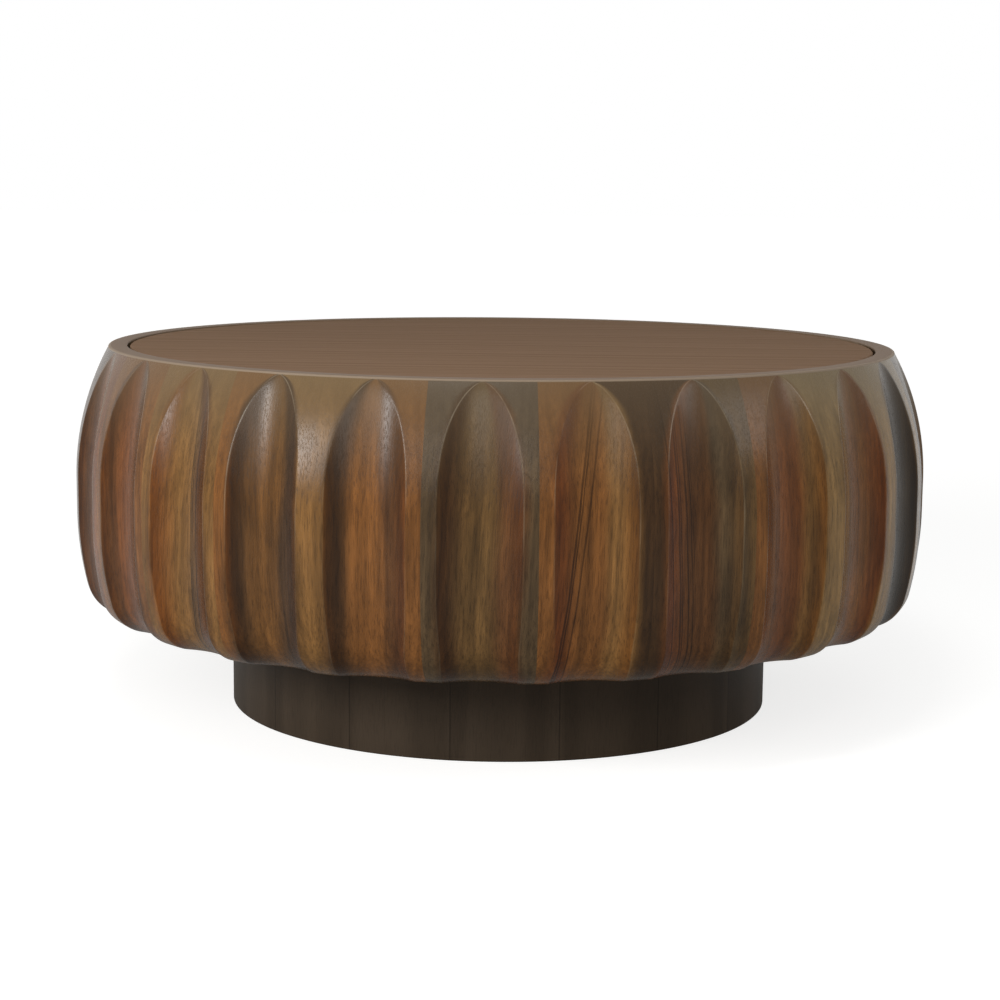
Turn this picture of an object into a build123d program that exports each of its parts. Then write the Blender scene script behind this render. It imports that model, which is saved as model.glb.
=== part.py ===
from build123d import *
import math
import os

os.makedirs("parts", exist_ok=True)

# A low round table built like a drum.  Coopered staves, each carved with one lancet flute, stand round an
# inset board top and a bottom head.  The drum rests on a smaller coopered plinth.
# Millimetres, +Z up, origin on the floor at the centre of the plinth.  One flute faces -Y.

# ---------------------------------------------------------------- driving dimensions
table_width = 1016
table_height = 432
drum_bottom = 119
stave_count = 27

# barrel outline, from the flat underside up to the rim
foot_round = 48
foot_tuck = 56.5
belly_upright = 40
shoulder_rise = 152
shoulder_radius = 305
stave_thickness = 78
rim_width = 21
rim_outer_break = 2
rim_inner_break = 1

# one flute: a level round cutter follows its floor from under the foot up through the shoulder
front_flute_angle = -90
flute_depth = 14
flute_foot_depth = 11.5
flute_cutter_radius = 85
flute_spring_rise = 24
flute_tip_drop = 6
flute_run_out_angle = 80
flute_run_out_length = 20

# inset top
board_count = 6
panel_thickness = 25
panel_recess = 1
panel_gap = 3
panel_edge_break = 1.5

# battens across the grain below the top
batten_width = 60
batten_thickness = 20
batten_setback = 183
batten_end_gap = 15
batten_chamfer = 12

# bottom head, let into a groove in the staves
head_thickness = 18
head_groove_depth = 8
head_groove_rise = 12
head_play = 0.5

# plinth: a coopered ring, with a flat ring inside it that is screwed up into the head
plinth_setback = 182.5
segment_count = 17
segment_thickness = 28
first_seam_angle = -97
ring_width = 57.5
ring_thickness = 22
ring_screw_count = 8

# screws with a flanged head and a hexagon socket
shank_radius = 2.5
flange_radius = 6
flange_height = 3
socket_width = 4
socket_depth = 2
screw_bite = 14
hole_play = 0.3
hole_spare_depth = 1
slot_travel = 6
screw_end_margin = 20

# ---------------------------------------------------------------- worked out from them
belly_radius = table_width / 2
foot_edge_radius = belly_radius - foot_tuck
foot_center_height = drum_bottom + foot_round
belly_high = table_height - shoulder_rise
belly_low = belly_high - belly_upright
shoulder_center_radius = belly_radius - shoulder_radius
rim_radius = shoulder_center_radius + math.sqrt(shoulder_radius**2 - shoulder_rise**2)
stave_back = belly_radius - stave_thickness
rabbet_radius = rim_radius - rim_width
panel_radius = rabbet_radius - panel_gap
panel_top = table_height - panel_recess
panel_bottom = panel_top - panel_thickness
board_width = 2 * panel_radius / board_count
batten_spacing = panel_radius - batten_setback
batten_bottom = panel_bottom - batten_thickness
head_bottom = drum_bottom + head_groove_rise
head_top = head_bottom + head_thickness
head_radius = stave_back + head_groove_depth
plinth_radius = belly_radius - plinth_setback
segment_back = plinth_radius - segment_thickness
ring_bottom = head_bottom - ring_thickness
ring_screw_radius = segment_back - ring_width / 2
hole_radius = shank_radius + hole_play
hole_depth = screw_bite + hole_spare_depth


# ---------------------------------------------------------------- drum
def lower_outline(edge_radius, side_radius, start_angle):
    """Round foot, a long arc that eases out of it without a corner, and the upright belly."""
    out = side_radius - edge_radius
    down = belly_low - foot_center_height
    ease_radius = (out**2 + down**2 - foot_round**2) / (2 * (out - foot_round))
    ease_center = side_radius - ease_radius
    join_angle = math.degrees(math.atan2(down, edge_radius - ease_center))
    foot = CenterArc((edge_radius, foot_center_height), foot_round, -start_angle, start_angle - join_angle)
    ease = CenterArc((ease_center, belly_low), ease_radius, -join_angle, join_angle)
    side = Line((side_radius, belly_low), (side_radius, belly_high))
    return [foot, ease, side]


def shoulder_arc(inset, top):
    """The shoulder from the belly up to a height, moved into the wood by an inset."""
    radius = shoulder_radius - inset
    rise_angle = math.degrees(math.asin((top - belly_high) / radius))
    return CenterArc((shoulder_center_radius, belly_high), radius, 0, rise_angle)


def stave_section():
    """A stave cut up its middle: barrel outline, rabbet for the top and groove for the head."""
    outline = lower_outline(foot_edge_radius, belly_radius, 90) + [shoulder_arc(0, table_height)]
    back = Polyline(
        (rim_radius, table_height),
        (rabbet_radius, table_height),
        (rabbet_radius, panel_bottom),
        (stave_back, panel_bottom),
        (stave_back, head_top),
        (head_radius + head_play, head_top),
        (head_radius + head_play, head_bottom),
        (stave_back, head_bottom),
        (stave_back, drum_bottom),
        (foot_edge_radius, drum_bottom),
    )
    section = make_face(outline + [back])
    outer_edge = section.vertices().group_by(Axis.Y)[-1].sort_by(Axis.X)[-1]
    section = chamfer(outer_edge, rim_outer_break)
    inner_edge = section.vertices().group_by(Axis.Y)[-1].sort_by(Axis.X)[0]
    return chamfer(inner_edge, rim_inner_break)


def coopered_piece(section, count, back_radius):
    """One piece of a ring, facing +X, with mitred sides and a flat back."""
    pitch = 360 / count
    piece = Rot(0, 0, -pitch / 2) * revolve(Plane.XZ * section, Axis.Z, pitch)
    hollow = Box(2 * back_radius, table_width, 2 * table_height)
    return piece - hollow


def flute_cutter():
    """What a level round cutter sweeps out as it follows the floor of the flute."""
    edge_radius = foot_edge_radius - flute_foot_depth
    low = lower_outline(edge_radius, belly_radius - flute_depth, flute_run_out_angle)
    start = low[0] @ 0
    below = Line(start - (low[0] % 0) * flute_run_out_length, start)
    rise = shoulder_arc(flute_depth, belly_high + flute_spring_rise)
    tip = shoulder_arc(0, table_height - flute_tip_drop) @ 1
    ease_out = TangentArc(rise @ 1, tip, tangent=rise % 1)
    above = PolarLine(tip, flute_run_out_length, direction=ease_out % 1)
    floor = Wire([below.edge()] + [line.edge() for line in low + [rise, ease_out, above]])
    path = Plane.XZ * (Pos(flute_cutter_radius, 0) * floor)
    cutter = Plane(origin=path @ 0) * Circle(flute_cutter_radius)
    return sweep(cutter, path=path, normal=(0, 0, 1))


def stave():
    """One stave with its flute, facing +X."""
    return coopered_piece(stave_section(), stave_count, stave_back) - flute_cutter()


def screw_hole(depth):
    """A hole that runs down from its opening at the origin."""
    return Pos(0, 0, -depth / 2) * Cylinder(hole_radius, depth)


def bottom_head():
    """The round head that closes the drum and carries it on the plinth."""
    head = Pos(0, 0, head_bottom + head_thickness / 2) * Cylinder(head_radius, head_thickness)
    for spot in ring_screw_spots():
        head -= spot * Pos(0, 0, head_bottom + hole_depth) * screw_hole(hole_depth)
    return head


# ---------------------------------------------------------------- inset top and battens
def batten_reach(offset):
    """Half the length of the batten whose centre line is this far from the middle of the table."""
    clear_radius = stave_back - batten_end_gap
    return math.sqrt(clear_radius**2 - (abs(offset) + batten_width / 2) ** 2)


def batten_offsets():
    return [-batten_spacing, 0, batten_spacing]


def board_middles():
    return [(number + 0.5) * board_width - panel_radius for number in range(board_count)]


def batten_screw_spots(offset):
    """One screw into each board that this batten crosses, at the middle of the board."""
    reach = batten_reach(offset) - screw_end_margin
    return [Pos(offset, middle, 0) for middle in board_middles() if abs(middle) < reach]


def batten(offset):
    """A batten with chamfered ends, and slots that let the boards swell across their width."""
    length = 2 * batten_reach(offset)
    bar = Box(batten_width, length, batten_thickness)
    ends = bar.edges().filter_by(Axis.X).group_by(Axis.Z)[0]
    bar = Pos(offset, 0, batten_bottom + batten_thickness / 2) * chamfer(ends, batten_chamfer)
    slot = Rot(0, 0, 90) * extrude(SlotCenterToCenter(slot_travel, 2 * hole_radius), batten_thickness)
    for spot in batten_screw_spots(offset):
        bar -= spot * Pos(0, 0, batten_bottom) * slot
    return bar


def round_panel():
    """The whole top before it is parted into boards, with its edge eased and screw holes below."""
    panel = Cylinder(panel_radius, panel_thickness)
    rim = panel.edges().group_by(Axis.Z)[-1]
    panel = Pos(0, 0, panel_bottom + panel_thickness / 2) * chamfer(rim, panel_edge_break)
    for offset in batten_offsets():
        for spot in batten_screw_spots(offset):
            panel -= spot * Pos(0, 0, panel_bottom + hole_depth) * screw_hole(hole_depth)
    return panel


def board(panel, middle):
    """One board of the top, with its grain along X."""
    return panel & Pos(0, middle, table_height / 2) * Box(table_width, board_width, 2 * table_height)


# ---------------------------------------------------------------- plinth
def plinth_segment():
    """One segment of the plinth, facing +X."""
    middle = (segment_back + plinth_radius) / 2
    section = Pos(middle, head_bottom / 2) * Rectangle(segment_thickness, head_bottom)
    return coopered_piece(section, segment_count, segment_back)


def ring_screw_spots():
    return PolarLocations(ring_screw_radius, ring_screw_count)


def plinth_ring():
    """The flat ring that is glued inside the segments, flush with their tops."""
    outside = RegularPolygon(segment_back, segment_count, major_radius=False, rotation=first_seam_angle)
    inside = Circle(segment_back - ring_width)
    ring = Pos(0, 0, ring_bottom) * extrude(outside - inside, ring_thickness)
    for spot in ring_screw_spots():
        ring -= spot * Pos(0, 0, head_bottom) * screw_hole(ring_thickness)
    return ring


# ---------------------------------------------------------------- screws
def screw(grip):
    """A screw that points up, with the seat of its flange at the origin."""
    length = grip + screw_bite
    shank = Pos(0, 0, length / 2) * Cylinder(shank_radius, length)
    flange = Pos(0, 0, -flange_height / 2) * Cylinder(flange_radius, flange_height)
    socket = RegularPolygon(socket_width / 2, 6, major_radius=False)
    recess = Pos(0, 0, -flange_height) * extrude(socket, socket_depth)
    return shank + flange - recess


def write(name, shape):
    """Write one node, turned into place already."""
    shape.label = name
    export_step(shape, f"parts/{name}.step")


one_stave = stave()
for number in range(stave_count):
    turn = Rot(0, 0, front_flute_angle + number * 360 / stave_count)
    write(f"stave_{number + 1:02d}", turn * one_stave)

write("bottom_head", bottom_head())

whole_panel = round_panel()
for number, middle in enumerate(board_middles()):
    write(f"top_board_{number + 1}", board(whole_panel, middle))

batten_screws = []
for number, offset in enumerate(batten_offsets()):
    write(f"top_batten_{number + 1}", batten(offset))
    seat = Pos(0, 0, batten_bottom)
    batten_screws += [spot * seat * screw(batten_thickness) for spot in batten_screw_spots(offset)]
write("batten_screws", Compound(batten_screws))

one_segment = plinth_segment()
for number in range(segment_count):
    turn = Rot(0, 0, first_seam_angle + (number + 0.5) * 360 / segment_count)
    write(f"plinth_segment_{number + 1:02d}", turn * one_segment)

write("plinth_ring", plinth_ring())
ring_seat = Pos(0, 0, ring_bottom)
write("ring_screws", Compound([spot * ring_seat * screw(ring_thickness) for spot in ring_screw_spots()]))
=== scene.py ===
# %% [markdown]
# # A round table coopered like a drum
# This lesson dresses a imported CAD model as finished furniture. The table is a barrel of 27 thick staves. Each
# one is carved with a single hollow flute, and together they hold a round top made of boards. A smaller
# coopered ring, the plinth, carries the barrel clear of the floor.
# The sizes are the CAD model's, repeated here in metres where a piece is built afresh. The work left is what a
# cabinet maker does last: the sharp edges are eased, the boards are chosen for colour and the wood is finished.

# %% Load the frame
import math
import random

import bpy
from mathutils import Euler, Matrix, Vector


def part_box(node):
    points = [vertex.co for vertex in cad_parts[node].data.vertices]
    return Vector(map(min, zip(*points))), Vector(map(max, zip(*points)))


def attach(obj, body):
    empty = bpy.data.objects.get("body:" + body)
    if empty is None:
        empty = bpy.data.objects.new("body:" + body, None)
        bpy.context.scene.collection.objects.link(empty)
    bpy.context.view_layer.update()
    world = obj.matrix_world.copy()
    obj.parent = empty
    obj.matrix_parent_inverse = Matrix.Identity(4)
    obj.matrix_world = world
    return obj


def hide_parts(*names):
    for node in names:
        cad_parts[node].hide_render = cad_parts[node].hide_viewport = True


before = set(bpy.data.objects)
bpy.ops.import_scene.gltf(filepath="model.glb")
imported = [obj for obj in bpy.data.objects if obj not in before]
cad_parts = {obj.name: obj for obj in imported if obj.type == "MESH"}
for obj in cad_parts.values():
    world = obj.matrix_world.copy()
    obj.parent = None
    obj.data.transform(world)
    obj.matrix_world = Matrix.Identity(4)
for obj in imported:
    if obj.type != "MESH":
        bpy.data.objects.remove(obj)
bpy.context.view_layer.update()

# %% [markdown]
# ## Easing the edges
# No wooden edge is left as sharp as the tool cut it. Sandpaper takes about a millimetre off, and that small
# round catches the light as a thin bright line. A Bevel modifier could do it on every sharp edge at once, but
# it would also round the glued seams between the boards and open them into grooves. So the edges are chosen
# in edit mode: first every sharp one, and then only those that a hand can reach.
# The CAD mesh is loose triangles, so a copy is merged before its edges mean anything.

# %% Copy a CAD node as a piece that can be worked on
MERGE_DISTANCE = 1e-5


def merged_copy(node, name):
    """A new object with the CAD node's shape, its loose triangles joined."""
    piece = bpy.data.objects.new(name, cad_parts[node].data.copy())
    piece.data.name = name
    bpy.context.scene.collection.objects.link(piece)
    bpy.ops.object.select_all(action="DESELECT")
    piece.select_set(True)
    bpy.context.view_layer.objects.active = piece
    bpy.ops.object.mode_set(mode="EDIT")
    bpy.ops.mesh.select_all(action="SELECT")
    bpy.ops.mesh.remove_doubles(threshold=MERGE_DISTANCE)
    bpy.ops.object.mode_set(mode="OBJECT")
    return piece


print("points closer than", MERGE_DISTANCE, "m are merged")

# %% Ease the sharp edges that a hand can reach
SHARP = math.radians(22)
SMOOTH = math.radians(32)
BEVEL_SEGMENTS = 3


def ease_edges(piece, width, reachable):
    """Round the sharp edges whose middle passes the test, smooth the shading, and count the edges."""
    bpy.ops.object.select_all(action="DESELECT")
    piece.select_set(True)
    bpy.context.view_layer.objects.active = piece
    bpy.ops.object.mode_set(mode="EDIT")
    bpy.ops.mesh.select_mode(type="EDGE")
    bpy.ops.mesh.select_all(action="DESELECT")
    bpy.ops.mesh.edges_select_sharp(sharpness=SHARP)
    bpy.ops.object.mode_set(mode="OBJECT")
    mesh = piece.data
    sharp = [edge.index for edge in mesh.edges if edge.select]
    for group in (mesh.vertices, mesh.edges, mesh.polygons):
        group.foreach_set("select", [False] * len(group))
    chosen = 0
    for index in sharp:
        edge = mesh.edges[index]
        first, second = (mesh.vertices[corner].co for corner in edge.vertices)
        if reachable((first + second) / 2):
            edge.select = True
            chosen += 1
    bpy.ops.object.mode_set(mode="EDIT")
    bpy.ops.mesh.bevel(offset=width, segments=BEVEL_SEGMENTS, affect="EDGES", clamp_overlap=True)
    bpy.ops.mesh.select_mode(type="FACE")
    bpy.ops.mesh.region_to_loop()
    bpy.ops.mesh.mark_sharp()
    bpy.ops.object.mode_set(mode="OBJECT")
    bpy.ops.object.shade_smooth_by_angle(angle=SMOOTH, keep_sharp_edges=True)
    return chosen


# %% [markdown]
# ## One stave, from its outline to its flute
# A cooper shapes a stave to the outline of the barrel, planes both sides to the angle of the ring, and then
# the carver sinks one long hollow into its face. The mesh follows the same three steps.
# First comes the outline, as a closed loop: a ring of points is added, and each point is moved to its place.
# Spin sweeps the loop through one pitch of the barrel, which gives straight rows of quads. Then every point
# of the face is moved inward to the wall of the flute, if that lies deeper than the barrel does.
# A boolean cut would be quicker to write, but it leaves long triangles that show as streaks in the lacquer.
# Here one line of points runs along each arris, so the edge stays clean to the tip and can be softened.

# %% Measures of the barrel, in metres
STAVE_COUNT = 27
PITCH = math.tau / STAVE_COUNT
BELLY = 0.508
BOTTOM = 0.119
TOP = 0.432
FOOT_EDGE = 0.4515
FOOT_ROUND = 0.048
BELLY_LOW = 0.240
BELLY_HIGH = 0.280
SHOULDER = 0.305
BACK = 0.430
RIM_WIDTH = 0.021
RIM_OUTER_ROUND = 0.002
RIM_INNER_ROUND = 0.001
PANEL_BOTTOM = 0.406
GROOVE = (0.131, 0.149)
GROOVE_DEPTH = 0.0085
print(STAVE_COUNT, "staves of", round(math.degrees(PITCH), 2), "degrees each")

# %% Measures of the flute
CUTTER = 0.085
FLUTE_DEPTH = 0.014
FLUTE_FOOT_DEPTH = 0.0115
# the depth is even up to the spring, and two powers shape the curve from there to the tip
FLUTE_SPRING = 0.300
FLUTE_TIP = 0.430
TIP_CURVE = (2.5, 1.3)
# under the foot the floor of the flute leaves the round at this angle and runs out straight
FLUTE_START = math.radians(80)
# barrel and flute blend where they lie closer together than this
ARRIS_SOFTNESS = 0.0007
print("the cutter is", round(CUTTER * 2000), "mm across")


# %% The outline as a function of the height
def lower_radius(height, edge, side):
    """Radius of the round foot and of the arc that eases out of it, below the belly."""
    middle = BOTTOM + FOOT_ROUND
    out, down = side - edge, BELLY_LOW - middle
    ease = (out**2 + down**2 - FOOT_ROUND**2) / (2 * (out - FOOT_ROUND))
    ease_middle = side - ease
    join = math.atan2(down, edge - ease_middle)
    if height > middle - FOOT_ROUND * math.sin(join):
        return ease_middle + math.sqrt(ease**2 - (BELLY_LOW - height) ** 2)
    return edge + math.sqrt(max(FOOT_ROUND**2 - (middle - height) ** 2, 0))


def barrel_radius(height, inset=0.0, edge=FOOT_EDGE):
    """Radius of the barrel at a height, or of a line that runs inside it."""
    if height < BELLY_LOW:
        return lower_radius(height, edge, BELLY - inset)
    if height < BELLY_HIGH:
        return BELLY - inset
    return BELLY - SHOULDER + math.sqrt((SHOULDER - inset) ** 2 - (height - BELLY_HIGH) ** 2)


def flute_floor(height):
    """Radius of the deepest line of the flute at a height."""
    edge = FOOT_EDGE - FLUTE_FOOT_DEPTH
    start = BOTTOM + FOOT_ROUND * (1 - math.sin(FLUTE_START))
    if height < start:
        begin = edge + FOOT_ROUND * math.cos(FLUTE_START)
        return begin - (start - height) * math.tan(FLUTE_START)
    if height < FLUTE_SPRING:
        return barrel_radius(height, FLUTE_DEPTH, edge)
    # above its even run the flute comes up to the face in a slow curve, which draws the pointed tip
    share = min((height - FLUTE_SPRING) / (FLUTE_TIP - FLUTE_SPRING), 1.0)
    return barrel_radius(height) - FLUTE_DEPTH * (1 - share**TIP_CURVE[0]) ** TIP_CURVE[1]


floors = [round(flute_floor(height), 4) for height in (BELLY_LOW, FLUTE_TIP)]
print("flute floor at the belly and at the tip", floors)

# %% The closed outline of a stave, as pairs of radius and height
ROW = 0.005
FOOT_STEPS = 22
FOOT_TURN = math.radians(74)
TIP_START = 0.392
TIP_STEPS = 16
TIP_CROWDING = 1.6
ROUND_STEPS = 4


def corner_round(centre, radius, start):
    """Points of a quarter round that runs on from its start angle."""
    turns = [start + step * math.pi / 2 / ROUND_STEPS for step in range(ROUND_STEPS + 1)]
    return [(centre[0] + radius * math.cos(turn), centre[1] + radius * math.sin(turn)) for turn in turns]


def face_rows():
    """The face from the underside up to where the rim starts to round over."""
    middle = BOTTOM + FOOT_ROUND
    heights = [middle - FOOT_ROUND * math.cos(FOOT_TURN * step / FOOT_STEPS) for step in range(FOOT_STEPS)]
    start = middle - FOOT_ROUND * math.cos(FOOT_TURN)
    count = math.ceil((TIP_START - start) / ROW)
    heights += [start + (TIP_START - start) * step / count for step in range(count)]
    # the flute narrows ever faster toward its tip, so the rows there lie closer and closer
    below_tip = FLUTE_TIP - TIP_START
    heights += [FLUTE_TIP - below_tip * (1 - step / TIP_STEPS) ** TIP_CROWDING for step in range(TIP_STEPS + 1)]
    return [(barrel_radius(height), height) for height in heights]


face = face_rows()
rim = barrel_radius(TOP)
rim_face = barrel_radius(TOP - RIM_OUTER_ROUND)
rabbet = rim - RIM_WIDTH
outline = face + corner_round((rim_face - RIM_OUTER_ROUND, TOP - RIM_OUTER_ROUND), RIM_OUTER_ROUND, 0)[1:]
outline += corner_round((rabbet + RIM_INNER_ROUND, TOP - RIM_INNER_ROUND), RIM_INNER_ROUND, math.pi / 2)
outline += [
    (rabbet, PANEL_BOTTOM),
    (BACK, PANEL_BOTTOM),
    (BACK, GROOVE[1]),
    (BACK + GROOVE_DEPTH, GROOVE[1]),
    (BACK + GROOVE_DEPTH, GROOVE[0]),
    (BACK, GROOVE[0]),
    (BACK, BOTTOM),
]
print(len(face), "rows on the face,", len(outline), "points in the outline")

# %% Where the columns of points lie across the stave
NEAR_ARRIS = (0.0026, 0.0013, 0.0006)
LEAST_ARRIS_TURN = 0.0008
LAND_COLUMNS = 3
FLUTE_COLUMNS = 16


def flute_middle(height):
    """Distance of the cutter's middle from the axis of the table."""
    if height >= FLUTE_TIP:
        return barrel_radius(min(height, TOP)) + CUTTER
    return flute_floor(height) + CUTTER


def arris_turn(height):
    """Angle from the middle of the stave to the arris, where the cutter leaves the barrel."""
    out, middle = barrel_radius(height), flute_middle(height)
    cosine = (out**2 + middle**2 - CUTTER**2) / (2 * out * middle)
    return math.acos(max(-1.0, min(1.0, cosine)))


def half_columns(height):
    """Angles from the middle of the stave to its seam, with a bunch of columns at the arris."""
    out = barrel_radius(height)
    arris = max(arris_turn(height), LEAST_ARRIS_TURN)
    # the bunch keeps to a third of the half flute, so it draws together where the flute is narrow
    spread = min(1.0, arris * out / (3 * NEAR_ARRIS[0]))
    steps = [offset * spread / out for offset in NEAR_ARRIS]
    inside = arris - steps[0]
    outside = arris + steps[0]
    half = FLUTE_COLUMNS // 2
    turns = [inside * step / half for step in range(half)]
    turns += [arris - step for step in steps] + [arris] + [arris + step for step in reversed(steps)]
    turns += [outside + (PITCH / 2 - outside) * step / LAND_COLUMNS for step in range(1, LAND_COLUMNS + 1)]
    return turns


def carved_radius(turn, radius, height):
    """The barrel, or the wall of the flute where that is deeper, with the arris between them softened."""
    middle = flute_middle(height)
    wall = middle * math.cos(turn) - math.sqrt(CUTTER**2 - (middle * math.sin(turn)) ** 2)
    apart = abs(radius - wall)
    soft = max(ARRIS_SOFTNESS - apart, 0) ** 2 / (4 * ARRIS_SOFTNESS)
    return min(radius, wall) - soft


COLUMNS = 2 * (len(half_columns(BELLY_LOW)) - 1)
print(COLUMNS, "columns across a stave")

# %% Spin the outline
bpy.ops.object.select_all(action="DESELECT")
bpy.ops.mesh.primitive_circle_add(vertices=len(outline), radius=BELLY)
first_stave = bpy.context.object
first_stave.name = first_stave.data.name = "dressed_stave_01"
mesh = first_stave.data
row_of = mesh.attributes.new("row", "INT", "POINT")
row_of.data.foreach_set("value", list(range(len(outline))))
for vertex, (radius, height) in zip(mesh.vertices, outline):
    vertex.co = (radius * math.sin(PITCH / 2), -radius * math.cos(PITCH / 2), height)
bpy.ops.object.mode_set(mode="EDIT")
bpy.ops.mesh.select_all(action="SELECT")
bpy.ops.mesh.spin(steps=COLUMNS, angle=PITCH, center=(0, 0, 0), axis=(0, 0, 1))
bpy.ops.object.mode_set(mode="OBJECT")
print("spun into", len(mesh.vertices), "points")

# %% Sink the flute, and keep each point's distance from the arris for the finish, its painted shade and highlights
rows = [item.value for item in mesh.attributes["row"].data]
inside_flute = []
for vertex, row in zip(mesh.vertices, rows):
    radius, height = outline[row]
    turn = math.atan2(vertex.co.x, -vertex.co.y)
    column = round(turn / PITCH * COLUMNS)
    turn = math.copysign(half_columns(height)[abs(column)], column) if column else 0.0
    if row < len(face):
        radius = carved_radius(turn, radius, height)
    elif radius == BACK:
        # the back is planed flat, while the rabbet and the groove are turned round
        radius /= math.cos(turn)
    inside_flute.append((arris_turn(height) - abs(turn)) * radius if row < len(face) else -1.0)
    vertex.co = (radius * math.sin(turn), -radius * math.cos(turn), height)
mesh.attributes.remove(mesh.attributes["row"])
mesh.attributes.new("hollow", "FLOAT", "POINT").data.foreach_set("value", inside_flute)
print("the widest point of a flute is", round(max(inside_flute) * 2000), "mm across")


# %% Close the two sides and look the stave over
def close_sides(piece):
    """Fill the flat sides that the spin left open, merge what meets at the tip, and point the faces outward."""
    bpy.ops.object.mode_set(mode="EDIT")
    bpy.ops.mesh.select_all(action="SELECT")
    bpy.ops.mesh.remove_doubles(threshold=MERGE_DISTANCE)
    bpy.ops.mesh.select_all(action="DESELECT")
    bpy.ops.mesh.select_mode(type="EDGE")
    bpy.ops.mesh.select_non_manifold(extend=False, use_wire=False, use_boundary=True, use_multi_face=False,
                                     use_non_contiguous=False, use_verts=False)
    bpy.ops.mesh.edge_face_add()
    bpy.ops.mesh.select_all(action="SELECT")
    bpy.ops.mesh.normals_make_consistent(inside=False)
    bpy.ops.object.mode_set(mode="OBJECT")
    bpy.ops.object.shade_smooth_by_angle(angle=SMOOTH)


close_sides(first_stave)
print("first stave:", len(mesh.vertices), "points,", len(mesh.polygons), "faces")

# %% [markdown]
# ## Choosing the boards
# On the front boards the tones also carry some painted shade and sheen.
# The drum lives from its timber: walnut-stained acacia, where dark heartwood, red streaks and pale sapwood
# stand side by side. A real shop lays the staves out by colour before gluing. Here that choice is a list. It
# names five tones for each stave, from its left land across the flute to its right land.
# The tones and the place of each board in its log go into attributes of the mesh, so that one material can
# dress all staves, and no two look alike.

# %% Tones of stained acacia
TONES = {
    "ebony": "#2A2218",
    "umber": "#3B2A1B",
    "chestnut": "#4F3521",
    "russet": "#633D22",
    "cinnamon": "#6B4829",
    "teak": "#5A3F24",
    "fawn": "#705839",
    "hazel": "#6E5233",
    "walnut": "#57432B",
    "olive": "#56452D",
    "slate": "#4C3F31",
    "sand": "#7E6748",
}


def linear(code):
    """An sRGB hex colour as the linear RGBA that a shader works with."""
    parts = [int(code[place:place + 2], 16) / 255 for place in (1, 3, 5)]
    return (*(part / 12.92 if part <= 0.04045 else ((part + 0.055) / 1.055) ** 2.4 for part in parts), 1.0)


print(len(TONES), "tones mixed")

# %% Which tones a board has
# left land, left wall of the flute, its floor, its right wall, right land
# on the front boards the darker walls and the ebony are partly painted shade, the slate lands partly painted
# sheen
BOARD_TONES = {
    22: "olive umber chestnut chestnut umber",
    23: "umber chestnut russet walnut russet",
    24: "cinnamon chestnut russet chestnut cinnamon",
    25: "hazel cinnamon hazel chestnut hazel",
    26: "cinnamon umber teak umber hazel",
    27: "hazel umber cinnamon chestnut cinnamon",
    1: "slate umber walnut chestnut slate",
    2: "cinnamon russet cinnamon hazel umber",
    3: "umber russet chestnut slate walnut",
    4: "cinnamon cinnamon russet hazel sand",
    5: "sand fawn cinnamon russet sand",
    6: "sand slate ebony ebony sand",
    7: "slate ebony olive olive slate",
}

# the other boards are picked at random from the tones that a shop has plenty of
ORDINARY_TONES = "umber chestnut russet cinnamon cinnamon hazel walnut sand".split()

# a few boards hold a bundle of dark growth lines: its place across the board, its lean and its reach
STREAKS = {
    2: (-0.016, 0.13, 0.012),
    3: (-0.024, -0.05, 0.017),
    11: (0.015, 0.06, 0.012),
    17: (-0.020, -0.10, 0.010),
    22: (0.005, 0.08, 0.014),
    # on board 25 the bundle also stands in for painted shade on the right wall of the flute
    25: (0.014, 0.02, 0.013),
}
NO_STREAKS = (1.0, 0.0, 0.0)
print(len(BOARD_TONES), "boards chosen by name,", len(STREAKS), "with dark growth lines")

# %% Write the choice on a stave
BOARD_LENGTH = 0.9
# where the heart of the log lies from the middle of the board, sideways and behind the face, and the lean
HEART_ASIDE = (0.10, 0.20)
HEART_DEPTH = (0.44, 0.48)
GRAIN_LEAN = 0.08
# the tones of the walls keep to the flute, though they narrow a little less than it does
FLUTE_HALF_WIDTH = arris_turn(BELLY_LOW) * barrel_radius(BELLY_LOW)
NARROWEST = 0.002
NARROWING = 0.8
DRUM_MIDDLE = (TOP + BOTTOM) / 2


def name_board(piece, number):
    """Write the tones of a stave, and its place in the log, on its mesh, and turn it to its place."""
    words = BOARD_TONES.get(number)
    tones = words.split() if words else random.choices(ORDINARY_TONES, k=5)
    aside = random.choice((-1, 1)) * random.uniform(*HEART_ASIDE)
    depth = random.uniform(*HEART_DEPTH)
    lean = random.uniform(-GRAIN_LEAN, GRAIN_LEAN)
    place, streak_lean, reach = STREAKS.get(number, NO_STREAKS)
    mesh = piece.data
    in_log, sideways, from_streak = [], [], []
    for vertex in mesh.vertices:
        x, y, z = vertex.co
        in_log += (x + aside + lean * z, -y - depth, z + number * BOARD_LENGTH)
        half_width = arris_turn(z) * barrel_radius(z)
        sideways.append(x * (FLUTE_HALF_WIDTH / max(half_width, NARROWEST)) ** NARROWING)
        from_streak.append(x - place - streak_lean * (z - DRUM_MIDDLE))
    mesh.attributes.new("board", "FLOAT_VECTOR", "POINT").data.foreach_set("vector", in_log)
    mesh.attributes.new("across", "FLOAT", "POINT").data.foreach_set("value", sideways)
    mesh.attributes.new("streak", "FLOAT", "POINT").data.foreach_set("value", from_streak)
    mesh.attributes.new("streak_reach", "FLOAT", "POINT").data.foreach_set("value", [reach] * len(sideways))
    for layer, tone in enumerate(tones, 1):
        stain = mesh.attributes.new(f"tone_{layer}", "FLOAT_COLOR", "POINT")
        stain.data.foreach_set("color", linear(TONES[tone]) * len(mesh.vertices))
    mesh.transform(Matrix.Rotation((number - 1) * PITCH, 4, "Z"))


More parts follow.
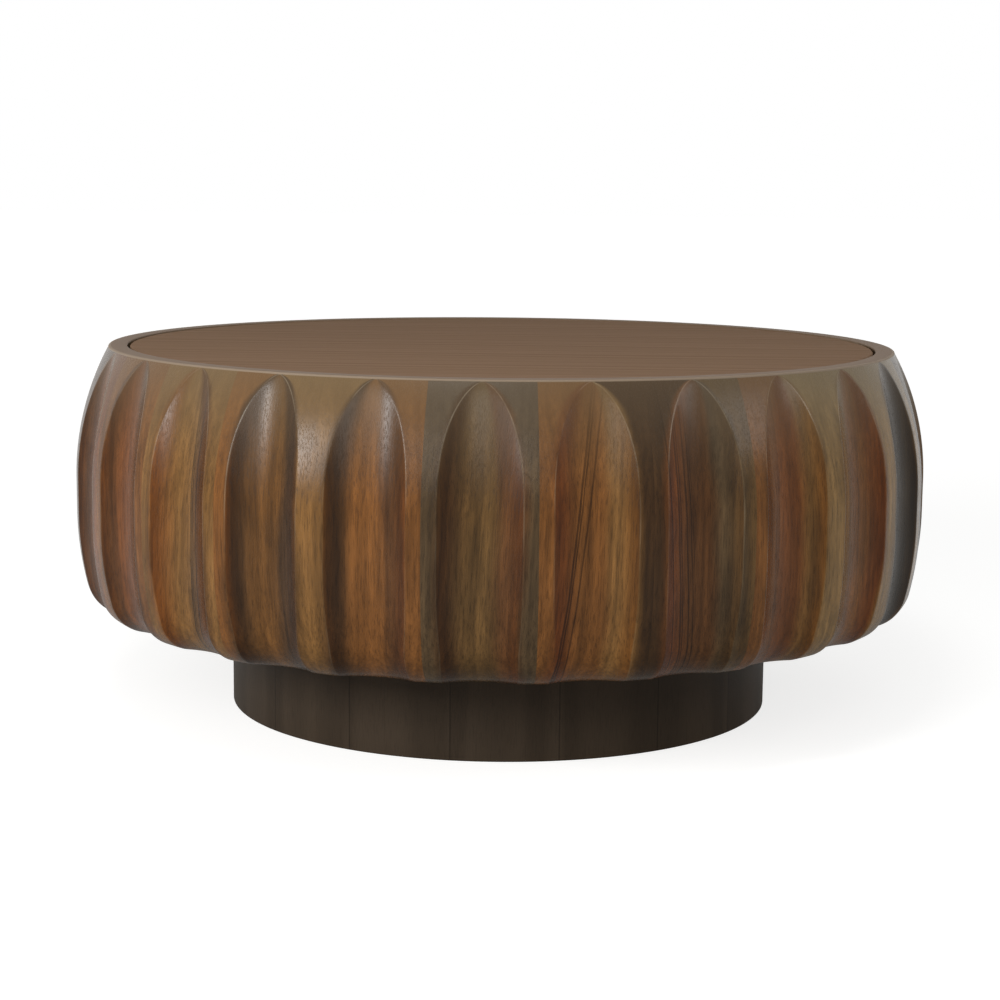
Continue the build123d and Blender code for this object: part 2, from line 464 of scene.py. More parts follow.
# %% Dress all staves
random.seed(27)
plain_mesh = first_stave.data.copy()
staves = []
for number in range(1, STAVE_COUNT + 1):
    if number == 1:
        stave = first_stave
    else:
        stave = bpy.data.objects.new(f"dressed_stave_{number:02d}", plain_mesh.copy())
        stave.data.name = stave.name
        bpy.context.scene.collection.objects.link(stave)
    name_board(stave, number)
    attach(stave, "root")
    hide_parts(f"stave_{number:02d}")
    staves.append(stave)
bpy.data.meshes.remove(plain_mesh)
print(len(staves), "staves dressed")

# %% [markdown]
# ## The top
# Six boards lie side by side in the rim with their grain from left to right. Sanded flush and stained evenly,
# their joints can hardly be seen. They are good as the CAD has them, so they are copied rather than modelled
# again, and only the outer edge of the round is eased.

# %% Dress the boards of the top
BOARD_COUNT = 6
PANEL_ROUND = 0.0005
# the edge to ease lies this close to the outside of the round, and this close to its top
EDGE_BAND = 0.002
EDGE_DROP = 0.0025
# where the heart of the log lies, sideways and below each board
TOP_HEART = (0.15, 0.04)
panel_radius = max(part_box(f"top_board_{number}")[1].x for number in range(1, BOARD_COUNT + 1))

top_boards = []
eased = 0
for number in range(1, BOARD_COUNT + 1):
    board_piece = merged_copy(f"top_board_{number}", f"dressed_board_{number}")
    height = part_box(f"top_board_{number}")[1].z

    def panel_edge(point):
        return math.hypot(point.x, point.y) > panel_radius - EDGE_BAND and point.z > height - EDGE_DROP

    eased += ease_edges(board_piece, PANEL_ROUND, panel_edge)
    mesh = board_piece.data
    spots = mesh.attributes.new("board", "FLOAT_VECTOR", "POINT")
    middle_y = sum(corner.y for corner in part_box(f"top_board_{number}")) / 2
    for point, spot in zip(mesh.vertices, spots.data):
        x, y, z = point.co
        spot.vector = (y - middle_y + TOP_HEART[0], TOP_HEART[1] + z - height, x + number * BOARD_LENGTH * 2)
    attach(board_piece, "root")
    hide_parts(f"top_board_{number}")
    top_boards.append(board_piece)
print(len(top_boards), "boards of the top dressed,", eased, "edges eased")

# %% [markdown]
# ## The plinth
# The plinth is coopered as the drum is, from 17 plain segments, and stained almost black-brown. Its lower
# outer edge is eased so that it doesn't splinter on the floor. Each segment is turned to the front in thought
# when its place in the log is written down, so that all of them show the same kind of grain.

# %% Dress the plinth segments
SEGMENT_COUNT = 17
SEGMENT_PITCH = math.tau / SEGMENT_COUNT
FIRST_SEAM = math.radians(-97)
PLINTH_RADIUS = 0.3255
SEGMENT_HALF = PLINTH_RADIUS * math.sin(SEGMENT_PITCH / 2)
PLINTH_ROUND = 0.0012
FLOOR_NEAR = 0.0006
OUTSIDE_NEAR = 0.003
SEGMENT_HEART = 0.1

segments = []
eased = 0
for number in range(1, SEGMENT_COUNT + 1):
    piece = merged_copy(f"plinth_segment_{number:02d}", f"dressed_segment_{number:02d}")
    facing = FIRST_SEAM + (number - 0.5) * SEGMENT_PITCH
    reach = max(math.hypot(vertex.co.x, vertex.co.y) for vertex in piece.data.vertices)

    def floor_edge(point):
        return point.z < FLOOR_NEAR and math.hypot(point.x, point.y) > reach - OUTSIDE_NEAR

    eased += ease_edges(piece, PLINTH_ROUND, floor_edge)
    spots = piece.data.attributes.new("board", "FLOAT_VECTOR", "POINT")
    turned = Matrix.Rotation(-facing, 3, "Z")
    for vertex, spot in zip(piece.data.vertices, spots.data):
        local = turned @ vertex.co
        spot.vector = (local.y, local.x - reach + SEGMENT_HEART, local.z + number * BOARD_LENGTH)
    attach(piece, "root")
    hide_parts(f"plinth_segment_{number:02d}")
    segments.append(piece)
print(len(segments), "plinth segments dressed,", eased, "edges eased")

# %% [markdown]
# ## Wood as a solid
# Wood isn't a picture glued on: the growth rings run through the whole board, and the carved flute cuts
# through them. So the pattern is worked out in the board's own space, as distance from the heart of the log,
# and the flutes show curved figure by themselves. A wave texture would give rings as even as a target.
# Noise that depends on that one distance gives wide and narrow years, as weather does.
# The inputs of a Math or a Mix node share their names, so they are given by number: 0, 1 and 2 are the values
# of a Math node, and in a colour Mix 0 is the share and 6 and 7 are the two colours. In a Map Range 0 is the
# value, 1 and 2 are the range that it comes from, and 3 and 4 the range that it goes to, 0 to 1 if not given.

# %% A function that adds a node
def fill(material, node, inputs):
    """Set each input of a node to a plain value, or link it to a socket or to another node's result."""
    for name, value in inputs.items():
        if isinstance(value, bpy.types.Node):
            value = next(socket for socket in value.outputs if socket.enabled)
        if isinstance(value, bpy.types.NodeSocket):
            material.node_tree.links.new(value, node.inputs[name])
        else:
            node.inputs[name].default_value = value


def add(material, kind, inputs=None, **settings):
    """Add a node, change its settings, and fill or link its inputs."""
    node = material.node_tree.nodes.new("ShaderNode" + kind)
    for name, value in settings.items():
        setattr(node, name, value)
    fill(material, node, inputs or {})
    return node


# %% Rings, dark lines and pores
# the log sways a few centimetres along its grain, which is stretched ten times
GRAIN_STRETCH = (1, 1, 0.10)
SWAY_SCALE = 14
SWAY = (0.035, 0.02, 0)
# the dark lines come and go in patches of about 45 mm
PATCH_SCALE = 22
# the pores of acacia are about 0.2 mm wide and some millimetres long, and are drawn coarser so that they show
PORE_WIDTH = 0.0011
PORE_LENGTH = 0.018


def wood_grain(material, place, ring_width, line_width):
    """Three masks of one timber: broad rings, fine dark lines and open pores. Grain runs along Z."""
    slim = add(material, "VectorMath", {0: place, 1: GRAIN_STRETCH}, operation="MULTIPLY")
    drift = add(material, "TexNoise", {"Vector": slim, "Scale": SWAY_SCALE, "Detail": 1}).outputs["Color"]
    centred = add(material, "VectorMath", {0: drift, 1: (0.5, 0.5, 0.5)}, operation="SUBTRACT")
    flat = add(material, "VectorMath", {0: place, 1: (1, 1, 0)}, operation="MULTIPLY")
    swayed = add(material, "VectorMath", {0: centred, 1: SWAY, 2: flat}, operation="MULTIPLY_ADD")
    from_heart = add(material, "VectorMath", {0: swayed}, operation="LENGTH")
    years = add(material, "TexNoise", {"W": from_heart, "Scale": 1 / ring_width, "Detail": 1},
                noise_dimensions="1D")
    rings = add(material, "MapRange", {0: years, 1: 0.32, 2: 0.68}, interpolation_type="SMOOTHSTEP")
    hair = add(material, "TexNoise", {"W": from_heart, "Scale": 1 / line_width, "Detail": 2},
               noise_dimensions="1D")
    sharp = add(material, "MapRange", {0: hair, 1: 0.54, 2: 0.74}, interpolation_type="SMOOTHSTEP")
    patches = add(material, "TexNoise", {"Vector": slim, "Scale": PATCH_SCALE, "Detail": 1})
    shown = add(material, "MapRange", {0: patches, 1: 0.42, 2: 0.62}, interpolation_type="SMOOTHSTEP")
    lines = add(material, "Math", {0: sharp, 1: shown}, operation="MULTIPLY")
    pore_size = (1 / PORE_WIDTH, 1 / PORE_WIDTH, 1 / PORE_LENGTH)
    fine = add(material, "VectorMath", {0: place, 1: pore_size}, operation="MULTIPLY")
    dots = add(material, "TexNoise", {"Vector": fine, "Scale": 1, "Detail": 1})
    pores = add(material, "MapRange", {0: dots, 1: 0.50, 2: 0.68}, interpolation_type="SMOOTHSTEP")
    return rings, lines, pores


print("pores drawn", round(PORE_WIDTH * 1000, 1), "mm wide and", round(PORE_LENGTH * 1000), "mm long")

# %% [markdown]
# ## Stained acacia for the staves
# The stain is rubbed in by hand and sealed with a satin lacquer. That gives the eye deep colour, soft
# highlights at the flute tips, and pores that can still be felt.
# The five tones of a board could be painted as stripes with firm borders. But real heartwood melts into
# sapwood along a wavering line, so each border is a soft step, and noise moves it to and fro.

# %% A material to start from
def new_material(name):
    """A material with only a Principled shader on its output."""
    material = bpy.data.materials.new(name)
    material.use_nodes = True
    material.node_tree.nodes.clear()
    shader = add(material, "BsdfPrincipled")
    output = add(material, "OutputMaterial", {"Surface": shader})
    return material, shader, output


stave_wood, stave_shader, _ = new_material("stained_acacia_satin")
print(stave_wood.name, "starts with", len(stave_wood.node_tree.nodes), "nodes")

# %% Five tones that melt into each other
# where each tone sets in and where it has taken over, in metres across the widest part of the flute
TONE_BORDERS = {
    "tone_2": (-0.054, -0.038),
    "tone_3": (-0.034, -0.008),
    "tone_4": (0.010, 0.026),
    "tone_5": (0.038, 0.052),
}
# the borders waver by up to 17 mm, in waves of about 60 mm across the grain
WAVER = 0.034
WAVER_SCALE = 16
CLOUD_STRETCH = (1, 1, 0.30)

in_log = add(stave_wood, "Attribute", attribute_name="board").outputs["Vector"]
across = add(stave_wood, "Attribute", attribute_name="across").outputs["Fac"]
slim = add(stave_wood, "VectorMath", {0: in_log, 1: CLOUD_STRETCH}, operation="MULTIPLY")
waver = add(stave_wood, "TexNoise", {"Vector": slim, "Scale": WAVER_SCALE, "Detail": 3})
off = add(stave_wood, "Math", {0: waver, 1: WAVER, 2: -WAVER / 2}, operation="MULTIPLY_ADD")
spread = add(stave_wood, "Math", {0: across, 1: off}, operation="ADD")
tone = add(stave_wood, "Attribute", attribute_name="tone_1").outputs["Color"]
for layer, (start, end) in TONE_BORDERS.items():
    share = add(stave_wood, "MapRange", {0: spread, 1: start, 2: end}, interpolation_type="SMOOTHSTEP")
    next_tone = add(stave_wood, "Attribute", attribute_name=layer).outputs["Color"]
    tone = add(stave_wood, "Mix", {0: share, 6: tone, 7: next_tone}, data_type="RGBA")
print(len(TONE_BORDERS), "borders between the tones of a board")

# %% Rings, and the bundles of dark growth lines
# broad years of 11 mm, because the stave is sawn nearly along them, and a fine line every 3 mm or so
RING_WIDTH = 0.011
LINE_WIDTH = 0.0028
RING_DARK, RING_LIGHT = 0.30, 1.12
LINE_DARK = 0.15
STREAK_SPACING = 0.0026
STREAK_WANDER = 0.008
STREAK_EDGE = 0.003
STREAK_DARK = 0.60

rings, lines, pores = wood_grain(stave_wood, in_log, RING_WIDTH, LINE_WIDTH)
ringed = add(stave_wood, "Math", {0: rings, 1: -RING_DARK, 2: RING_LIGHT}, operation="MULTIPLY_ADD")
faint = add(stave_wood, "Math", {0: lines, 1: -LINE_DARK, 2: 1.0}, operation="MULTIPLY_ADD")
from_streak = add(stave_wood, "Attribute", attribute_name="streak").outputs["Fac"]
streak_reach = add(stave_wood, "Attribute", attribute_name="streak_reach").outputs["Fac"]
wander = add(stave_wood, "Math", {0: waver, 1: STREAK_WANDER, 2: from_streak}, operation="MULTIPLY_ADD")
hairs = add(stave_wood, "TexNoise", {"W": wander, "Scale": 1 / STREAK_SPACING, "Detail": 1},
            noise_dimensions="1D")
dark = add(stave_wood, "MapRange", {0: hairs, 1: 0.48, 2: 0.60}, interpolation_type="SMOOTHSTEP")
from_middle = add(stave_wood, "Math", {0: from_streak}, operation="ABSOLUTE")
room = add(stave_wood, "Math", {0: streak_reach, 1: from_middle}, operation="SUBTRACT")
within = add(stave_wood, "MapRange", {0: room, 1: 0.0, 2: STREAK_EDGE})
drawn = add(stave_wood, "Math", {0: dark, 1: within}, operation="MULTIPLY")
strong = add(stave_wood, "Math", {0: drawn, 1: -STREAK_DARK, 2: 1.0}, operation="MULTIPLY_ADD")
lined = add(stave_wood, "Math", {0: faint, 1: strong}, operation="MULTIPLY")
print("growth lines every", round(STREAK_SPACING * 1000, 1), "mm in a bundle")

# %% Clouds, fibres and pores
# clouds of about 30 mm, and fibres of 4 mm by 70 mm, which are bundles because single ones are too fine to show
CLOUD_SCALE = 34
CLOUD_DARK, CLOUD_LIGHT = 0.74, 1.10
FIBRES = (260, 260, 14)
FIBRE_DARK, FIBRE_LIGHT = 0.82, 1.16
PORE_DARK, PORE_REST = 0.36, 1.07

cloud = add(stave_wood, "TexNoise", {"Vector": slim, "Scale": CLOUD_SCALE, "Detail": 3})
smoke = add(stave_wood, "MapRange", {0: cloud, 1: 0.34, 2: 0.62, 3: CLOUD_DARK, 4: CLOUD_LIGHT})
smoky = add(stave_wood, "Math", {0: ringed, 1: smoke}, operation="MULTIPLY")
both = add(stave_wood, "Math", {0: smoky, 1: lined}, operation="MULTIPLY")
thread = add(stave_wood, "VectorMath", {0: in_log, 1: FIBRES}, operation="MULTIPLY")
fibres = add(stave_wood, "TexNoise", {"Vector": thread, "Scale": 1, "Detail": 3})
figured = add(stave_wood, "MapRange", {0: fibres, 1: 0.36, 2: 0.64, 3: FIBRE_DARK, 4: FIBRE_LIGHT})
pored = add(stave_wood, "Math", {0: pores, 1: -PORE_DARK, 2: PORE_REST}, operation="MULTIPLY_ADD")
fleck = add(stave_wood, "Math", {0: pored, 1: figured}, operation="MULTIPLY")
figure = add(stave_wood, "Math", {0: both, 1: fleck}, operation="MULTIPLY")
print("the figure of the wood takes", len(stave_wood.node_tree.nodes), "nodes so far")

# %% [markdown]
# ## Glaze, painted sheen, painted shade and wear
# Over the stain the finisher rubs a warm glaze. Toward the rim the colour turns to a grey bloom, which is a
# painted sheen of the shoulder and calms the figure of the wood. Along the walls of the flutes the colour is
# darker, as painted shade in the hollows. Along the arrises it is paler, partly wear where a cloth presses
# hardest and partly a painted highlight. One stain colour for the whole board would miss all of this, so the
# height and the distance from the arris decide how much of each there is.

# %% The glaze, the painted sheen toward the rim and the painted shade in the flutes
SHEEN_START = 0.30
SHEEN_CURVE = 1.9
CALM_REACH, CALM_FIGURE = 1.1, 0.95
WALL_WIDTH = 0.020
PAINTED_WALL_SHADE = (0.84, 0.68, 0.47, 1)
BELLY_GLAZE = (0.85, 0.76, 0.57, 1)
RIM_SHEEN_TINT = (0.84, 0.99, 1.10, 1)
SHEEN_SHARE = 0.42
PAINTED_SHEEN = linear("#594A39")

on_object = add(stave_wood, "TexCoord").outputs["Object"]
height = add(stave_wood, "SeparateXYZ", {0: on_object}).outputs["Z"]
rise = add(stave_wood, "MapRange", {0: height, 1: SHEEN_START, 2: TOP})
sheen_rise = add(stave_wood, "Math", {0: rise, 1: SHEEN_CURVE}, operation="POWER")
# toward the rim a painted sheen hides most of the figure
calmed = add(stave_wood, "MapRange", {0: sheen_rise, 2: CALM_REACH, 3: figure, 4: CALM_FIGURE})
hollow = add(stave_wood, "Attribute", attribute_name="hollow").outputs["Fac"]
# painted shade darkens the walls of the flute, most of all low on the drum
wall = add(stave_wood, "MapRange", {0: hollow, 1: WALL_WIDTH, 2: 0.002}, interpolation_type="SMOOTHSTEP")
in_flute = add(stave_wood, "MapRange", {0: hollow, 1: 0.0003, 2: 0.0012})
wall_shade_mask = add(stave_wood, "Math", {0: wall, 1: in_flute}, operation="MULTIPLY")
strength = add(stave_wood, "MapRange", {0: rise, 1: 0.2, 2: 0.9, 3: 1.0, 4: 0.25})
wall_shade = add(stave_wood, "Math", {0: wall_shade_mask, 1: strength}, operation="MULTIPLY")
wall_shade_tint = add(stave_wood, "Mix", {0: wall_shade, 6: (1, 1, 1, 1), 7: PAINTED_WALL_SHADE}, data_type="RGBA")
# the stained tone with the painted shade of the walls on it
stained = add(stave_wood, "VectorMath", {0: tone, 1: wall_shade_tint}, operation="MULTIPLY")
colour = add(stave_wood, "VectorMath", {0: stained, "Scale": calmed}, operation="SCALE")
# the warm glaze over it all, and the grey bloom, a painted sheen toward the rim
glaze_and_sheen = add(stave_wood, "Mix", {0: sheen_rise, 6: BELLY_GLAZE, 7: RIM_SHEEN_TINT}, data_type="RGBA")
tinted = add(stave_wood, "VectorMath", {0: colour, 1: glaze_and_sheen}, operation="MULTIPLY")
sheen_amount = add(stave_wood, "Math", {0: sheen_rise, 1: SHEEN_SHARE}, operation="MULTIPLY")
glazed_and_sheened = add(stave_wood, "Mix", {0: sheen_amount, 6: tinted, 7: PAINTED_SHEEN}, data_type="RGBA")
print("the glaze turns from warm to grey above", SHEEN_START, "m")

# %% Wear and painted highlights along the arrises and the rim
ARRIS_WEAR = 0.0011
ARRIS_SHARE = 0.20
BARE_WOOD_AND_GLINT = linear("#B5A78F")
RIM_TOP = linear("#62503F")
RIM_EDGE_WEAR_AND_GLINT = linear("#776858")

# a cloth rubs the arrises thin in places, and higher up more often; the pale line is partly a painted highlight
from_arris = add(stave_wood, "Math", {0: hollow}, operation="ABSOLUTE")
touched = add(stave_wood, "MapRange", {0: from_arris, 1: ARRIS_WEAR, 2: 0.0, 4: ARRIS_SHARE})
rubbing = add(stave_wood, "MapRange", {0: cloud, 1: 0.40, 2: 0.62})
high = add(stave_wood, "MapRange", {0: height, 1: 0.20, 2: 0.38, 3: 0.2, 4: 1.0})
often = add(stave_wood, "Math", {0: rubbing, 1: high}, operation="MULTIPLY")
thin = add(stave_wood, "Math", {0: touched, 1: often}, operation="MULTIPLY")
arris_wear_and_glint = add(stave_wood, "Mix", {0: thin, 6: glazed_and_sheened, 7: BARE_WOOD_AND_GLINT}, data_type="RGBA")
# the rim top has one even tone, its rounded outer edge a thin pale line: partly wear, partly painted highlight
on_rim = add(stave_wood, "MapRange", {0: height, 1: TOP - 0.0020, 2: TOP - 0.0006})
even = add(stave_wood, "Mix", {0: on_rim, 6: arris_wear_and_glint, 7: RIM_TOP}, data_type="RGBA")
level = add(stave_wood, "VectorMath", {0: on_object, 1: (1, 1, 0)}, operation="MULTIPLY")
from_axis = add(stave_wood, "VectorMath", {0: level}, operation="LENGTH")
outer = add(stave_wood, "MapRange", {0: from_axis, 1: rim - 0.0024, 2: rim - 0.0014})
upper = add(stave_wood, "MapRange", {0: height, 1: TOP - 0.0022, 2: TOP - 0.0012})
edge_line = add(stave_wood, "Math", {0: outer, 1: upper}, operation="MULTIPLY")
wear_and_glint_colour = add(stave_wood, "Mix", {0: edge_line, 6: even, 7: RIM_EDGE_WEAR_AND_GLINT}, data_type="RGBA")
print("wear reaches", round(ARRIS_WEAR * 1000, 1), "mm from each arris")

# %% Satin lacquer over open pores
SATIN, PORE_DULL, RIM_DULL = 0.25, 0.10, 0.60
gloss = add(stave_wood, "Math", {0: pores, 1: PORE_DULL, 2: SATIN}, operation="MULTIPLY_ADD")
duller = add(stave_wood, "MapRange", {0: on_rim, 3: gloss, 4: RIM_DULL})
relief = add(stave_wood, "Bump", {"Height": pores, "Strength": 0.14, "Distance": 0.0002}, invert=True)
fill(stave_wood, stave_shader, {"Base Color": wear_and_glint_colour, "Roughness": duller, "Normal": relief})
stave_shader.inputs["Specular IOR Level"].default_value = 0.11
print(stave_wood.name, len(stave_wood.node_tree.nodes), "nodes")

# %% [markdown]
# ## The top and the plinth
# The same timber, but stained evenly: the top a mid brown that hides its joints, the plinth almost black. A
# plain colour would look like paint, so rings and pores stay, only weaker. The top is rubbed matt with oil, so
# it shows hardly any gloss. The plinth has a thin lacquer, and its glued joints are a little darker.
# The brown of the top is paler and greyer than the stain alone, partly a painted sheen.

# %% Oiled acacia for the top
# these boards are sawn flatter, which spreads the rings to 16 mm
TOP_RINGS, TOP_LINES = 0.016, 0.004
top_wood, shader, _ = new_material("stained_acacia_top")
in_log = add(top_wood, "Attribute", attribute_name="board").outputs["Vector"]
rings, lines, pores = wood_grain(top_wood, in_log, TOP_RINGS, TOP_LINES)
# both browns are paler and greyer than the stain alone, partly a painted sheen in place of the gloss
part = add(top_wood, "Mix", {0: rings, 6: linear("#6A533F"), 7: linear("#775F4B")}, data_type="RGBA")
lined = add(top_wood, "Math", {0: lines, 1: -0.10, 2: 1.0}, operation="MULTIPLY_ADD")
pored = add(top_wood, "Math", {0: pores, 1: -0.10, 2: 1.0}, operation="MULTIPLY_ADD")
figure = add(top_wood, "Math", {0: lined, 1: pored}, operation="MULTIPLY")
colour = add(top_wood, "VectorMath", {0: part, "Scale": figure}, operation="SCALE")
relief = add(top_wood, "Bump", {"Height": pores, "Strength": 0.15, "Distance": 0.0001}, invert=True)
fill(top_wood, shader, {"Base Color": colour, "Normal": relief, "Roughness": 0.7, "Specular IOR Level": 0.01})
print(top_wood.name, len(top_wood.node_tree.nodes), "nodes")

# %% Dark acacia for the plinth
PLINTH_RINGS, PLINTH_LINES = 0.014, 0.004
JOINT_LIGHT = 0.60
plinth_wood, shader, _ = new_material("stained_acacia_dark")
in_log = add(plinth_wood, "Attribute", attribute_name="board").outputs["Vector"]
rings, lines, pores = wood_grain(plinth_wood, in_log, PLINTH_RINGS, PLINTH_LINES)
part = add(plinth_wood, "Mix", {0: rings, 6: linear("#3E342A"), 7: linear("#352C23")}, data_type="RGBA")
pored = add(plinth_wood, "Math", {0: pores, 1: -0.12, 2: 1.0}, operation="MULTIPLY_ADD")
sideways = add(plinth_wood, "SeparateXYZ", {0: in_log}).outputs["X"]
aside = add(plinth_wood, "Math", {0: sideways}, operation="ABSOLUTE")
# the last millimetre before a glued joint takes the stain darker
joint = add(plinth_wood, "MapRange",
            {0: aside, 1: SEGMENT_HALF - 0.0012, 2: SEGMENT_HALF - 0.0004, 3: 1.0, 4: JOINT_LIGHT})
shaded = add(plinth_wood, "Math", {0: pored, 1: joint}, operation="MULTIPLY")
colour = add(plinth_wood, "VectorMath", {0: part, "Scale": shaded}, operation="SCALE")
relief = add(plinth_wood, "Bump", {"Height": pores, "Strength": 0.2, "Distance": 0.0002}, invert=True)
fill(plinth_wood, shader, {"Base Color": colour, "Normal": relief, "Roughness": 0.42, "Specular IOR Level": 0.08})
print(plinth_wood.name, len(plinth_wood.node_tree.nodes), "nodes")

# %% [markdown]
# ## What nobody sees
# Battens, bottom head, ring and screws are hidden, but a table may be turned over. The battens are plain
# planed poplar. The head and the ring are birch plywood, which shows its veneers at the edge. The screws are
# zinc plated, a soft grey metal that is never quite even.

# %% Planed poplar for the battens
batten_wood, shader, _ = new_material("planed_poplar")
on_object = add(batten_wood, "TexCoord").outputs["Object"]
# the grain runs along the battens, so the log is laid down along Y
turned = add(batten_wood, "Mapping", {"Vector": on_object, "Location": (0.05, 0.0, 0.1),
                                      "Rotation": (math.pi / 2, 0, 0)})
rings, lines, pores = wood_grain(batten_wood, turned, 0.012, 0.003)
part = add(batten_wood, "Mix", {0: rings, 6: linear("#B89B74"), 7: linear("#A58660")}, data_type="RGBA")
pored = add(batten_wood, "Math", {0: pores, 1: -0.15, 2: 1.0}, operation="MULTIPLY_ADD")
colour = add(batten_wood, "VectorMath", {0: part, "Scale": pored}, operation="SCALE")
fill(batten_wood, shader, {"Base Color": colour, "Roughness": 0.6, "Specular IOR Level": 0.3})
print(batten_wood.name, len(batten_wood.node_tree.nodes), "nodes")

# %% Birch plywood for the head and the ring
# veneers of 1.5 mm, and bundles of fibres 4 mm wide that run along X
VENEER = 0.0015
PLY_FIBRES = (12, 260, 260)
plywood, shader, _ = new_material("birch_plywood")
on_object = add(plywood, "TexCoord").outputs["Object"]
height = add(plywood, "SeparateXYZ", {0: on_object}).outputs["Z"]
layer = add(plywood, "Math", {0: height, 1: 1 / VENEER}, operation="MULTIPLY")
odd = add(plywood, "Math", {0: layer, 1: 1.0}, operation="PINGPONG")
step = add(plywood, "Math", {0: odd, 1: 0.5}, operation="GREATER_THAN")
fibre = add(plywood, "VectorMath", {0: on_object, 1: PLY_FIBRES}, operation="MULTIPLY")
streak = add(plywood, "TexNoise", {"Vector": fibre, "Scale": 1, "Detail": 3})
sheet = add(plywood, "Mix", {0: streak, 6: linear("#D8BE93"), 7: linear("#BE9C6C")}, data_type="RGBA")
edge = add(plywood, "Mix", {0: step, 6: sheet, 7: linear("#A37E52")}, data_type="RGBA")
fill(plywood, shader, {"Base Color": edge, "Roughness": 0.65, "Specular IOR Level": 0.3})
print(plywood.name, len(plywood.node_tree.nodes), "nodes")

# %% Zinc-plated steel for the screws
# the zinc dulls in spots of about a millimetre
SPOT_SCALE = 900
zinc, shader, _ = new_material("zinc_plated_steel")
on_object = add(zinc, "TexCoord").outputs["Object"]
spots = add(zinc, "TexNoise", {"Vector": on_object, "Scale": SPOT_SCALE, "Detail": 2})
dull = add(zinc, "Math", {0: spots, 1: 0.2, 2: 0.25}, operation="MULTIPLY_ADD")
fill(zinc, shader, {"Base Color": linear("#C4C6C8"), "Metallic": 1.0, "Roughness": dull})
print(zinc.name, len(zinc.node_tree.nodes), "nodes")


# %% Put the materials on
def finish(pieces, material):
    """Give every slot of some pieces one material."""
    for piece in pieces:
        if not piece.data.materials:
            piece.data.materials.append(material)
        for slot in piece.material_slots:
            slot.link = "OBJECT"
            slot.material = material


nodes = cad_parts
finish(staves, stave_wood)
finish(top_boards, top_wood)
finish(segments, plinth_wood)
finish([nodes["top_batten_1"], nodes["top_batten_2"], nodes["top_batten_3"]], batten_wood)
finish([nodes["bottom_head"], nodes["plinth_ring"]], plywood)
finish([nodes["batten_screws"], nodes["ring_screws"]], zinc)
print(len(bpy.data.materials), "materials in the file")

# %% [markdown]
# ## Floor, light and camera
# A pale floor and soft studio light. Two broad lamps in front light the drum evenly, and a small strong one at
# the left draws the highlights on its shoulder and its flutes. Another hangs above for the round top, and one
# at the right opens up the shaded side. The lamps and the sky together give about the light at which a colour
# renders as written. The floor and the sky could be lit until they are white, but that light would bleach the
# table. So they only glow for the camera and in reflections, and the floor still takes the shadow.

# %% The floor
FLOOR_SIZE = 60
bpy.ops.object.select_all(action="DESELECT")
bpy.ops.mesh.primitive_plane_add(size=FLOOR_SIZE)
floor = bpy.context.object
floor.name = "floor"
floor_paint, shader, output = new_material("pale_floor")
fill(floor_paint, shader, {"Base Color": linear("#B4B4B2"), "Roughness": 0.9, "Specular IOR Level": 0.0})
ray = add(floor_paint, "LightPath").outputs
on_object = add(floor_paint, "TexCoord").outputs["Object"]
away = add(floor_paint, "VectorMath", {0: on_object}, operation="LENGTH")
# near the table a reflection sees the floor in its shade, farther off it sees it white
shade = add(floor_paint, "MapRange", {0: away, 1: 0.3, 2: 1.2, 3: 0.1}, interpolation_type="SMOOTHSTEP")
reflected = add(floor_paint, "Math", {0: ray["Is Glossy Ray"], 1: ray["Is Transmission Ray"]},
                operation="MAXIMUM")
mirrored = add(floor_paint, "Math", {0: reflected, 1: shade}, operation="MULTIPLY")
seen = add(floor_paint, "Math", {0: ray["Is Camera Ray"], 1: mirrored}, operation="MAXIMUM")
# the lamps already lighten the floor near the table, so it needs less glow of its own there
lift = add(floor_paint, "MapRange", {0: away, 1: 0.8, 2: 4.0, 3: 0.72, 4: 0.86}, interpolation_type="SMOOTHSTEP")
shine = add(floor_paint, "Math", {0: seen, 1: lift}, operation="MULTIPLY")
glow = add(floor_paint, "Emission", {"Strength": shine})
both = add(floor_paint, "AddShader", {0: shader, 1: glow})
fill(floor_paint, output, {"Surface": both})
floor.data.materials.append(floor_paint)
print("floor", FLOOR_SIZE, "m wide")

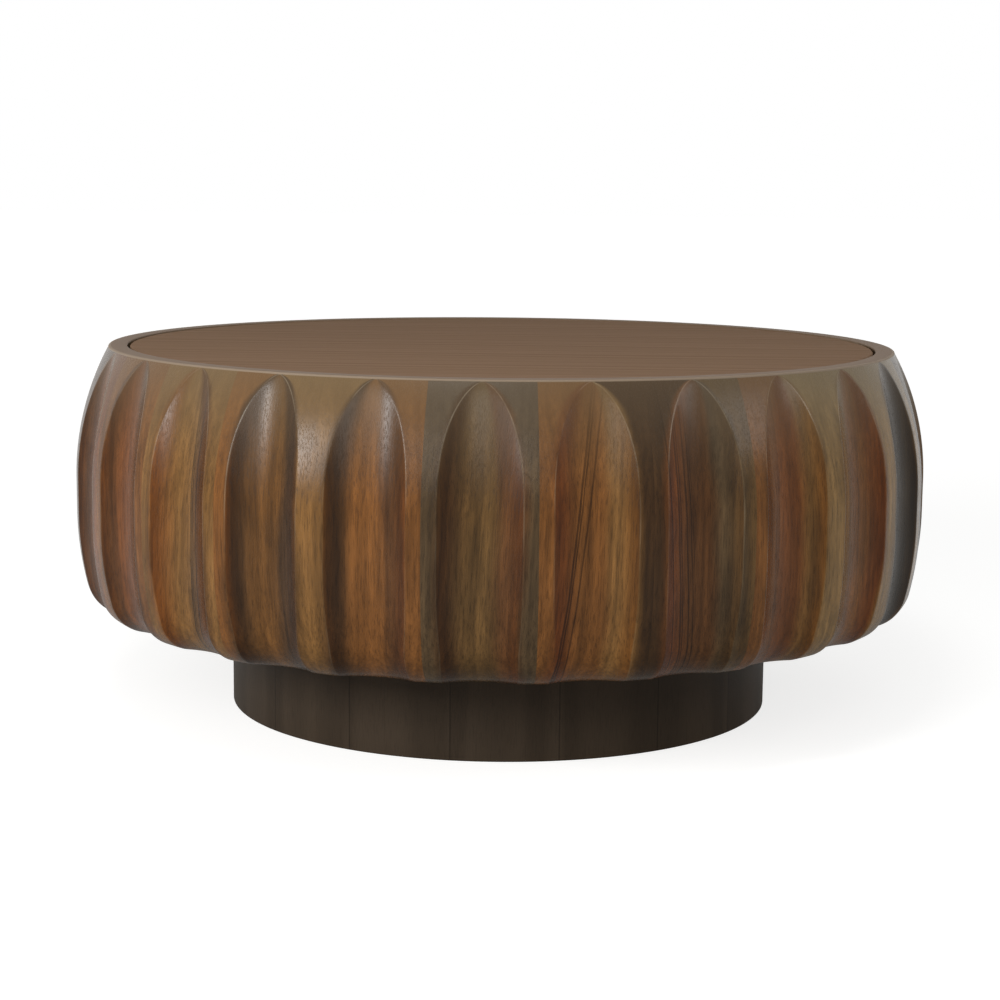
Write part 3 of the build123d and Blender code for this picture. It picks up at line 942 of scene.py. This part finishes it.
# %% The world
FILL = 0.36
world = bpy.data.worlds.new("studio")
world.use_nodes = True
world.node_tree.nodes.clear()
bpy.context.scene.world = world
ray = add(world, "LightPath").outputs
reflected = add(world, "Math", {0: ray["Is Camera Ray"], 1: ray["Is Glossy Ray"]}, operation="MAXIMUM")
seen = add(world, "Math", {0: reflected, 1: ray["Is Transmission Ray"]}, operation="MAXIMUM")
level = add(world, "MapRange", {0: seen, 3: FILL, 4: 1.0})
sky = add(world, "Background", {"Color": (1, 1, 1, 1), "Strength": level})
add(world, "OutputWorld", {"Surface": sky})
print("the sky lights at", FILL, "and is seen white")

# %% The lamps
LAMP_DISTANCE = 2.6
AIM = Vector((0, 0, 0.27))


def softbox(name, turn, rise, width, height, power):
    """A rectangular lamp that looks at the middle of the drum. Turn is from the front toward +X, in degrees."""
    turn, rise = math.radians(turn), math.radians(rise)
    away = Vector((math.sin(turn) * math.cos(rise), -math.cos(turn) * math.cos(rise), math.sin(rise)))
    lamp = bpy.data.lights.new(name, "AREA")
    lamp.shape = "RECTANGLE"
    lamp.size, lamp.size_y = width, height
    lamp.energy = power
    stand = bpy.data.objects.new(name, lamp)
    facing = away.to_track_quat("Z", "Y").to_matrix().to_4x4()
    stand.matrix_world = Matrix.Translation(AIM + away * LAMP_DISTANCE) @ facing
    bpy.context.scene.collection.objects.link(stand)


softbox("key_lamp", -28, 19, 0.9, 0.8, 12)
softbox("front_lamp", -2, 19, 0.9, 0.8, 13)
softbox("window_lamp", -47, 17, 0.28, 0.65, 35)
softbox("top_lamp", -12, 57, 0.8, 0.7, 17)
softbox("side_lamp", 66, 24, 1.0, 0.8, 15)
print(len(bpy.data.lights), "lamps")

# %% The camera
CAMERA_PLACE = (0.1015, -2.5950, 0.6357)
TILT_DOWN = 0.1513
AROUND = math.radians(2.24)
ROLL = 0.0095
camera_data = bpy.data.cameras.new("camera")
camera_data.lens = 77.28
camera_data.sensor_width = 36
camera = bpy.data.objects.new("camera", camera_data)
look = Euler((math.pi / 2 - TILT_DOWN, 0, AROUND)).to_matrix() @ Matrix.Rotation(ROLL, 3, "Z")
camera.matrix_world = Matrix.Translation(CAMERA_PLACE) @ look.to_4x4()
bpy.context.scene.collection.objects.link(camera)
bpy.context.scene.camera = camera
bpy.context.scene.view_settings.view_transform = "Standard"
print("camera with a lens of", camera_data.lens, "mm")
